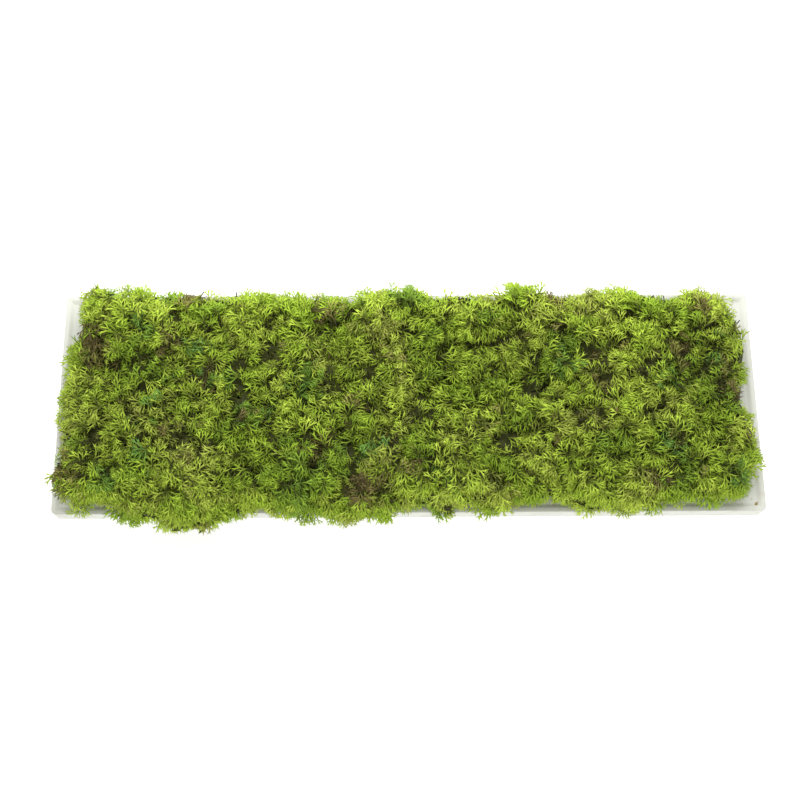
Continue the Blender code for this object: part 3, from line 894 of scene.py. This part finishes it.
class MossTree:
    """The geometry tree that grows sprigs all over a mesh of tuft forms."""

    INPUTS = (
        ("Sprigs", "NodeSocketCollection"),
        ("Patches", "NodeSocketObject"),
        ("Material", "NodeSocketMaterial"),
        ("Seed", "NodeSocketInt"),
        ("Spacing", "NodeSocketFloat"),
        ("Length", "NodeSocketFloat"),
        ("Smallest", "NodeSocketFloat"),
        ("Largest", "NodeSocketFloat"),
        ("Lean", "NodeSocketFloat"),
        ("Flow", "NodeSocketFloat"),
        ("Wander", "NodeSocketFloat"),
        ("Roll", "NodeSocketFloat"),
        ("Layering", "NodeSocketFloat"),
        ("Undergrowth", "NodeSocketFloat"),
        ("Kinds", "NodeSocketFloat"),
        ("Light Kinds", "NodeSocketFloat"),
        ("Valley Depth", "NodeSocketFloat"),
        ("Fringe", "NodeSocketFloat"),
        ("Felt Depth", "NodeSocketFloat"),
    )

    def __init__(self):
        self.tree = bpy.data.node_groups.new("moss_growth", "GeometryNodeTree")
        interface = self.tree.interface
        interface.new_socket("Geometry", in_out="INPUT", socket_type="NodeSocketGeometry")
        self.named = {
            name: interface.new_socket(name, in_out="INPUT", socket_type=kind).identifier
            for name, kind in self.INPUTS
        }
        interface.new_socket("Geometry", in_out="OUTPUT", socket_type="NodeSocketGeometry")
        self.net = Net(self.tree)
        self.given = self.net.node("NodeGroupInput")
        self.build()

    def value(self, name):
        return self.given.output(name)

    def draw(self, step, low, high, vector=False):
        """A random draw for each sprig, apart from the others by its step."""
        settings = {"data_type": "FLOAT_VECTOR" if vector else "FLOAT"}
        sockets = {"Min": low, "Max": high, "Seed": self.value("Seed") + step}
        return self.net.node("FunctionNodeRandomValue", settings, sockets)

    def attribute(self, name, kind="FLOAT"):
        return self.net.node("GeometryNodeInputNamedAttribute", {"data_type": kind}, {"Name": name})

    def keep(self, geometry, name, value, kind="FLOAT", domain="POINT"):
        """Stores a value on the geometry under a name."""
        settings = {"data_type": kind, "domain": domain}
        sockets = {"Geometry": geometry, "Name": name, "Value": value}
        return self.net.node("GeometryNodeStoreNamedAttribute", settings, sockets)

    def length_of(self, vector):
        return self.net.node("ShaderNodeVectorMath", {"operation": "LENGTH"}, {0: vector}, "Value")

    def unit(self, vector):
        return self.net.node("ShaderNodeVectorMath", {"operation": "NORMALIZE"}, {0: vector})

    def part(self, vector, axis):
        return self.net.node("ShaderNodeSeparateXYZ", {}, {"Vector": vector}, axis)

    def cover(self, position, normal):
        """How thickly sprigs stand: fully on top, thinner down the sides, and none underneath."""
        net = self.net
        facing = net.ease(self.part(normal, "Z"), -0.85, 0.25)
        high = net.ease(self.part(position, "Z"), TRAY_HIGH.z - 0.004, TRAY_HIGH.z + 0.010, 0.60)
        steep = 1.0 - net.ease(self.part(normal, "Z"), 0.2, 0.9)
        return facing * high * (1.0 - steep * 0.38)

    def kind_of_sprig(self, position):
        """Where on the range from brown to emerald a sprig stands."""
        net = self.net
        drift = net.noise(position, 17.0, 2.0)
        common = drift * 0.42 + self.draw(11, -0.07, 0.07) + 0.34 + self.attribute("tone") * 0.14
        common = common - self.attribute("valley") * 0.12
        dry = self.draw(12, 0.0, 1.0) < 0.035
        common = net.node("ShaderNodeClamp", {}, {"Value": common, "Min": 0.30, "Max": 0.78})
        common = common - dry * 0.22

        flat = position * (1.0, 1.0, 0.0)
        patches = net.node("GeometryNodeObjectInfo", {}, {"Object": self.value("Patches")}, "Geometry")
        nearest = net.node("GeometryNodeSampleNearest", {}, {"Geometry": patches, "Sample Position": flat})

        def at_nearest(value, kind="FLOAT"):
            sockets = {"Geometry": patches, "Value": value, "Index": nearest}
            return net.node("GeometryNodeSampleIndex", {"data_type": kind}, sockets)

        centre = at_nearest(net.node("GeometryNodeInputPosition"), "FLOAT_VECTOR")
        reach = at_nearest(self.attribute("patch_radius")) * self.draw(13, 0.7, 1.40)
        inside = self.length_of(flat - centre) < reach
        patch = at_nearest(self.attribute("patch_kind")) + self.draw(14, -0.13, 0.13)
        sockets = {"Factor": inside, "A": common, "B": patch}
        kind = net.node("ShaderNodeMix", {"data_type": "FLOAT"}, sockets, "Result")
        return net.node("ShaderNodeClamp", {}, {"Value": kind})

    def past_border(self, position):
        """How far a place is into the border of the carpet, level and outwards, from 0 to about 1."""
        inner = [TRAY_HIGH.x - BORDER, TRAY_HIGH.y - BORDER, 1.0]
        sockets = {0: position, 1: inner}
        held = self.net.node("ShaderNodeVectorMath", {"operation": "MINIMUM"}, sockets)
        sockets = {0: held, 1: [-value for value in inner]}
        held = self.net.node("ShaderNodeVectorMath", {"operation": "MAXIMUM"}, sockets)
        return (position - held).scaled(1.0 / BORDER)

    def felt(self, position, normal):
        """The matted old moss that the sprigs stand in: the carpet's upper side, sunk by its depth, and darkened partly
        as painted shade.
        """
        net = self.net
        under = self.part(normal, "Z") < 0.0
        sockets = {"Geometry": self.value("Geometry"), "Selection": under}
        settings = {"domain": "FACE"}
        sheet = net.node("GeometryNodeDeleteGeometry", settings, sockets)
        knots = net.node("ShaderNodeTexNoise", {}, {"Vector": position, "Scale": 160.0, "Detail": 2.0}, "Color")
        rough = (knots - (0.5, 0.5, 0.5)).scaled(0.016)
        moved = rough - normal.scaled(self.value("Felt Depth"))
        sheet = net.node("GeometryNodeSetPosition", {}, {"Geometry": sheet, "Offset": moved})
        # Its colour sits low on the map, near the old stems' dark: partly old matted moss, partly painted shade for the
        # gaps between the sprigs.
        old = net.noise(position, 60.0, 3.0)
        fresh = net.noise(position, 420.0, 2.0)
        spot = net.node("ShaderNodeCombineXYZ", {}, {"X": old * 0.44, "Y": fresh * 0.46 - 0.08})
        return self.keep(sheet, PIECE_MAP, spot, "FLOAT2", "CORNER")

    def build(self):
        net = self.net
        spacing = self.value("Spacing")
        normal = net.node("GeometryNodeInputNormal")
        position = net.node("GeometryNodeInputPosition")
        sockets = {
            "Mesh": self.value("Geometry"),
            "Distance Min": spacing * 0.70,
            "Density Max": 2.2 / (spacing * spacing),
            "Density Factor": self.cover(position, normal),
            "Seed": self.value("Seed"),
        }
        settings = {"distribute_method": "POISSON"}
        points = net.node("GeometryNodeDistributePointsOnFaces", settings, sockets, "Points")

        outward = points.output("Normal")
        away = position - self.attribute("root", "FLOAT_VECTOR")
        valley = self.attribute("valley")
        steep = 1.0 - net.ease(self.part(outward, "Z"), 0.2, 0.9)
        scale = self.draw(1, self.value("Smallest"), self.value("Largest")) * (1.0 + steep * self.draw(16, -0.45, 0.30))
        level = net.node("ShaderNodeCombineXYZ", {}, {"X": 1.0, "Y": 1.0, "Z": self.value("Lean")})
        drift = net.node("ShaderNodeTexNoise", {}, {"Vector": position, "Scale": 48.0, "Detail": 1.0}, "Color")
        drift = (drift - (0.5, 0.5, 0.5)).scaled(self.value("Flow"))
        stray = self.draw(3, (-1.0, -1.0, -0.5), (1.0, 1.0, 0.5), vector=True).scaled(self.value("Wander"))
        radial = self.unit(away).scaled(0.66)
        way = (radial + drift) * level + stray + outward.scaled(steep * 0.6)
        border = self.past_border(position)
        way = self.unit(way + border.scaled(1.0))
        inner = net.ease(self.length_of(border), 0.30, 0.75, 1.0, 0.0)
        rise = net.node("ShaderNodeVectorMath", {"operation": "DOT_PRODUCT"}, {0: way, 1: outward}, "Value")
        lacking = net.node("ShaderNodeMath", {"operation": "MAXIMUM"}, {0: steep * 0.36 + 0.34 - rise, 1: 0.0})
        way = self.unit(way + outward.scaled(lacking))
        deep = self.draw(15, 0.0, 1.0) < self.value("Undergrowth") * (1.0 - steep) * inner
        sockets = {"Factor": deep, "A": way, "B": self.unit(outward + stray.scaled(1.6))}
        way = net.node("ShaderNodeMix", {"data_type": "VECTOR"}, sockets, "Result")
        edge = self.unit(border)
        past = net.node("ShaderNodeVectorMath", {"operation": "DOT_PRODUCT"}, {0: way, 1: edge}, "Value")
        least = self.length_of(border) * 1.60 - 1.0
        lacking = net.node("ShaderNodeMath", {"operation": "MAXIMUM"}, {0: least - past, 1: 0.0})
        way = self.unit(way + edge.scaled(lacking))
        poke = self.draw(17, 0.0, 1.0)
        poke = (poke * poke - 0.38) * steep * self.value("Fringe")
        depth = scale * self.value("Length") * 0.90 - self.attribute("lift") - poke
        under = self.draw(2, 0.0, 1.0)
        sunk = under * self.value("Layering") + valley * self.value("Valley Depth") + deep * 0.0065
        sink = way.scaled(depth) + outward.scaled(sunk)
        points = self.keep(points, "kind", self.kind_of_sprig(position))
        points = self.keep(points, "growth", scale)
        # Painted light: sprigs near the back edge are lifted toward their bright tip colour, standing in for the light
        # that falls there from behind.
        painted_back_light = net.ease(self.part(position, "Y"), 0.040, 0.100)
        # Painted shade: sprigs that lie low, sit in the gaps between clumps or grow as undergrowth are drawn toward
        # their dark root colour. The clump's own random tone adds real variation. Steep sides and the border get less
        # of this shade.
        shade = under * 0.38 + valley * 0.36 + deep * 0.12 + self.attribute("tone") * 0.12
        shade = shade * (1.0 - steep * 0.50) * (inner * 0.30 + 0.70) - painted_back_light * (1.0 - steep * 0.6) * 0.46
        points = self.keep(points, "shade", shade)
        points = self.keep(points, "light", deep)
        points = self.keep(points, "way", way, "FLOAT_VECTOR")
        points = net.node("GeometryNodeSetPosition", {}, {"Geometry": points, "Offset": sink.scaled(-1.0)})

        grow_way = self.attribute("way", "FLOAT_VECTOR")
        turn = net.node("FunctionNodeAlignRotationToVector", {"axis": "Z"}, {"Vector": grow_way})
        sockets = {"Rotation": turn, "Vector": (0.0, 0.0, 1.0)}
        turn = net.node("FunctionNodeAlignRotationToVector", {"axis": "Y", "pivot_axis": "Z"}, sockets)
        limit = self.value("Roll")
        sockets = {"Axis": (0.0, 0.0, 1.0), "Angle": self.draw(4, 0.0 - limit, limit)}
        rolled = net.node("FunctionNodeAxisAngleToRotation", {}, sockets)
        sockets = {"Rotation": turn, "Rotate By": rolled}
        turn = net.node("FunctionNodeRotateRotation", {"rotation_space": "LOCAL"}, sockets)

        sockets = {"Collection": self.value("Sprigs"), "Separate Children": True, "Reset Children": True}
        kinds = net.node("GeometryNodeCollectionInfo", {}, sockets)
        light = self.attribute("light")
        full_kinds, light_kinds = self.value("Kinds"), self.value("Light Kinds")
        among = full_kinds * (1.0 - light) + light_kinds * light
        pick = full_kinds * light + self.draw(5, 0.0, 0.9999) * among
        pick = net.node("ShaderNodeMath", {"operation": "FLOOR"}, {0: pick})
        sockets = {
            "Points": points,
            "Instance": kinds,
            "Pick Instance": True,
            "Instance Index": pick,
            "Rotation": turn,
            "Scale": self.attribute("growth"),
        }
        grown = net.node("GeometryNodeInstanceOnPoints", {}, sockets)
        grown = net.node("GeometryNodeRealizeInstances", {}, {"Geometry": grown})

        spot = self.attribute(PIECE_MAP, "FLOAT_VECTOR")
        across = self.part(spot, "X") * SPRIG_MAP_WIDTH + self.attribute("kind") * (1.0 - SPRIG_MAP_WIDTH)
        # The painted shade and painted light above pull each sprig's height on the map down toward its dark root
        # colour, or up toward its tip colour.
        along = self.part(spot, "Y") * (1.0 - self.attribute("shade"))
        placed = net.node("ShaderNodeCombineXYZ", {}, {"X": across, "Y": along})
        grown = self.keep(grown, PIECE_MAP, placed, "FLOAT2", "CORNER")
        grown = net.node("GeometryNodeJoinGeometry", {}, {"Geometry": grown})
        net.tree.links.new(self.felt(position, normal).socket, grown.socket.node.inputs["Geometry"])
        grown = net.node("GeometryNodeSetMaterial", {}, {"Geometry": grown, "Material": self.value("Material")})
        net.node("NodeGroupOutput", {}, {"Geometry": grown})


class MOSSGARDEN_OT_moss(bpy.types.Operator):
    """Grows every tuft of moss out of fine sprigs, in the form of its solid"""

    bl_idname = "mossgarden.grow_moss"
    bl_label = "Grow moss"

    def execute(self, context):
        moss = context.scene.moss_moss
        sprigs = make_sprigs(moss)
        patches = make_patches()
        material = moss_material(moss)
        growth = MossTree()
        carpet, hearts = make_carpet(moss)
        mark_clumps(carpet, moss)
        values = {
            "Sprigs": sprigs,
            "Patches": patches,
            "Material": material,
            "Spacing": moss.spacing,
            "Length": moss.sprig_length,
            "Smallest": moss.smallest,
            "Largest": moss.largest,
            "Lean": moss.lean,
            "Flow": moss.flow,
            "Wander": moss.wander,
            "Roll": moss.roll,
            "Layering": moss.layering,
            "Undergrowth": moss.undergrowth,
            "Kinds": float(moss.kinds),
            "Light Kinds": float(moss.light_kinds),
            "Valley Depth": moss.valley_depth,
            "Fringe": moss.fringe,
            "Felt Depth": moss.felt_depth,
        }
        for row_number, row in enumerate(ROWS):
            tufts = [name for name in TUFTS if name.split("_")[2] == row]
            halves = (("left", tufts[: len(tufts) // 2]), ("right", tufts[len(tufts) // 2 :]))
            for half_number, (half, nodes) in enumerate(halves):
                seed = moss.seed * 10 + row_number * 2 + half_number
                stretch = cut_carpet(carpet, f"moss_row_{row}_{half}", nodes, hearts)
                piece = grow(stretch, growth, {**values, "Seed": seed})
                settle(piece, material, "moss_yellow_green", *nodes)
        for spare in list(sprigs.objects) + [patches]:
            bpy.data.objects.remove(spare)
        bpy.data.collections.remove(sprigs)
        bpy.data.meshes.remove(carpet)
        return {"FINISHED"}


def grow(stretch, growth, values):
    """One plain mesh of moss over a stretch of the carpet, which it takes the place of."""
    name = stretch.name
    modifier = stretch.modifiers.new("growth", "NODES")
    modifier.node_group = growth.tree
    for label, value in values.items():
        modifier[growth.named[label]] = value
    mesh = bake(stretch)
    for spare in ("root", "lift", "tone", "valley", "kind", "growth", "shade", "way", "light"):
        if spare in mesh.attributes:
            mesh.attributes.remove(mesh.attributes[spare])
    piece = bpy.data.objects.new(name, mesh)
    bpy.context.scene.collection.objects.link(piece)
    return piece


class MOSSGARDEN_OT_stage(bpy.types.Operator):
    """Sets the pale floor, the soft light and the camera"""

    bl_idname = "mossgarden.set_stage"
    bl_label = "Set stage"

    def execute(self, context):
        stage = context.scene.moss_stage
        self.lay_floor(stage)
        self.light(context.scene, stage)
        self.aim_camera(context.scene, stage)
        return {"FINISHED"}

    def lay_floor(self, stage):
        half = stage.floor_size / 2
        bm = bmesh.new()
        bm.faces.new([bm.verts.new((x, y, 0.0)) for x, y in ((-half, -half), (half, -half), (half, half), (-half, half))])
        floor = new_object("studio_floor", bm)
        material, net, shader = new_material("studio_paper", stage.floor_colour)
        feed(net, shader, Base_Color=rgba(stage.floor_colour), Roughness=0.9)
        feed(net, shader, Emission_Color=(1.0, 1.0, 1.0, 1.0), Emission_Strength=stage.floor_glow)
        floor.data.materials.append(material)

    def light(self, scene, stage):
        scene.view_settings.view_transform = "Standard"
        world = bpy.data.worlds.new("studio_sky")
        world.use_nodes = True
        sky = world.node_tree.nodes["Background"]
        sky.inputs["Color"].default_value = (1.0, 1.0, 1.0, 1.0)
        sky.inputs["Strength"].default_value = stage.sky
        scene.world = world
        self.hang_lamp(scene, "key_light", stage.key_power, (0.0, 0.50, 0.74))
        self.hang_lamp(scene, "fill_light", stage.fill_power, (0.0, -0.75, 0.78))

    def hang_lamp(self, scene, name, power, place):
        """A large soft lamp that faces the tray."""
        lamp = bpy.data.lights.new(name, "AREA")
        lamp.shape = "RECTANGLE"
        lamp.size = 1.4
        lamp.size_y = 0.7
        lamp.energy = power
        hung = bpy.data.objects.new(name, lamp)
        hung.location = place
        hung.rotation_euler = (-hung.location).to_track_quat("-Z", "Y").to_euler()
        scene.collection.objects.link(hung)

    def aim_camera(self, scene, stage):
        turn, height = stage.azimuth, stage.elevation
        level = math.cos(height)
        back = Vector((math.sin(turn) * level, -math.cos(turn) * level, math.sin(height)))
        right = Vector((0.0, 0.0, 1.0)).cross(back).normalized()
        up = back.cross(right)
        tilted_right = math.cos(stage.roll) * right + math.sin(stage.roll) * up
        tilted_up = back.cross(tilted_right)
        data = bpy.data.cameras.new("view")
        data.lens = stage.lens
        data.sensor_width = 36.0
        camera = bpy.data.objects.new("view", data)
        turned = Matrix((tilted_right, tilted_up, back)).transposed().to_4x4()
        camera.matrix_world = Matrix.Translation(Vector(stage.target) + back * stage.distance) @ turned
        scene.collection.objects.link(camera)
        scene.camera = camera


class MOSSGARDEN_PT_panel(bpy.types.Panel):
    """Lists the garden's steps and values"""

    bl_label = "Moss Garden"
    bl_idname = "MOSSGARDEN_PT_panel"
    bl_space_type = "VIEW_3D"
    bl_region_type = "UI"
    bl_category = "Moss Garden"

    def draw(self, context):
        for operator in OPERATORS:
            self.layout.operator(operator.bl_idname)
        for group in (context.scene.moss_tray, context.scene.moss_moss, context.scene.moss_stage):
            box = self.layout.box()
            for name in group.__annotations__:
                box.prop(group, name)


OPERATORS = (
    MOSSGARDEN_OT_stage,
    MOSSGARDEN_OT_tray,
    MOSSGARDEN_OT_mat,
    MOSSGARDEN_OT_moss,
    MOSSGARDEN_OT_flakes,
)
CLASSES = (TrayProperties, MossProperties, StageProperties, *OPERATORS, MOSSGARDEN_PT_panel)


def register():
    for item in CLASSES:
        bpy.utils.register_class(item)
    bpy.types.Scene.moss_tray = bpy.props.PointerProperty(type=TrayProperties)
    bpy.types.Scene.moss_moss = bpy.props.PointerProperty(type=MossProperties)
    bpy.types.Scene.moss_stage = bpy.props.PointerProperty(type=StageProperties)


def unregister():
    del bpy.types.Scene.moss_stage
    del bpy.types.Scene.moss_moss
    del bpy.types.Scene.moss_tray
    for item in reversed(CLASSES):
        bpy.utils.unregister_class(item)


def main():
    register()
    bpy.ops.mossgarden.set_stage()
    bpy.ops.mossgarden.make_tray()
    bpy.ops.mossgarden.finish_mat()
    bpy.ops.mossgarden.grow_moss()
    bpy.ops.mossgarden.scatter_flakes()


if __name__ == "__main__":
    main()
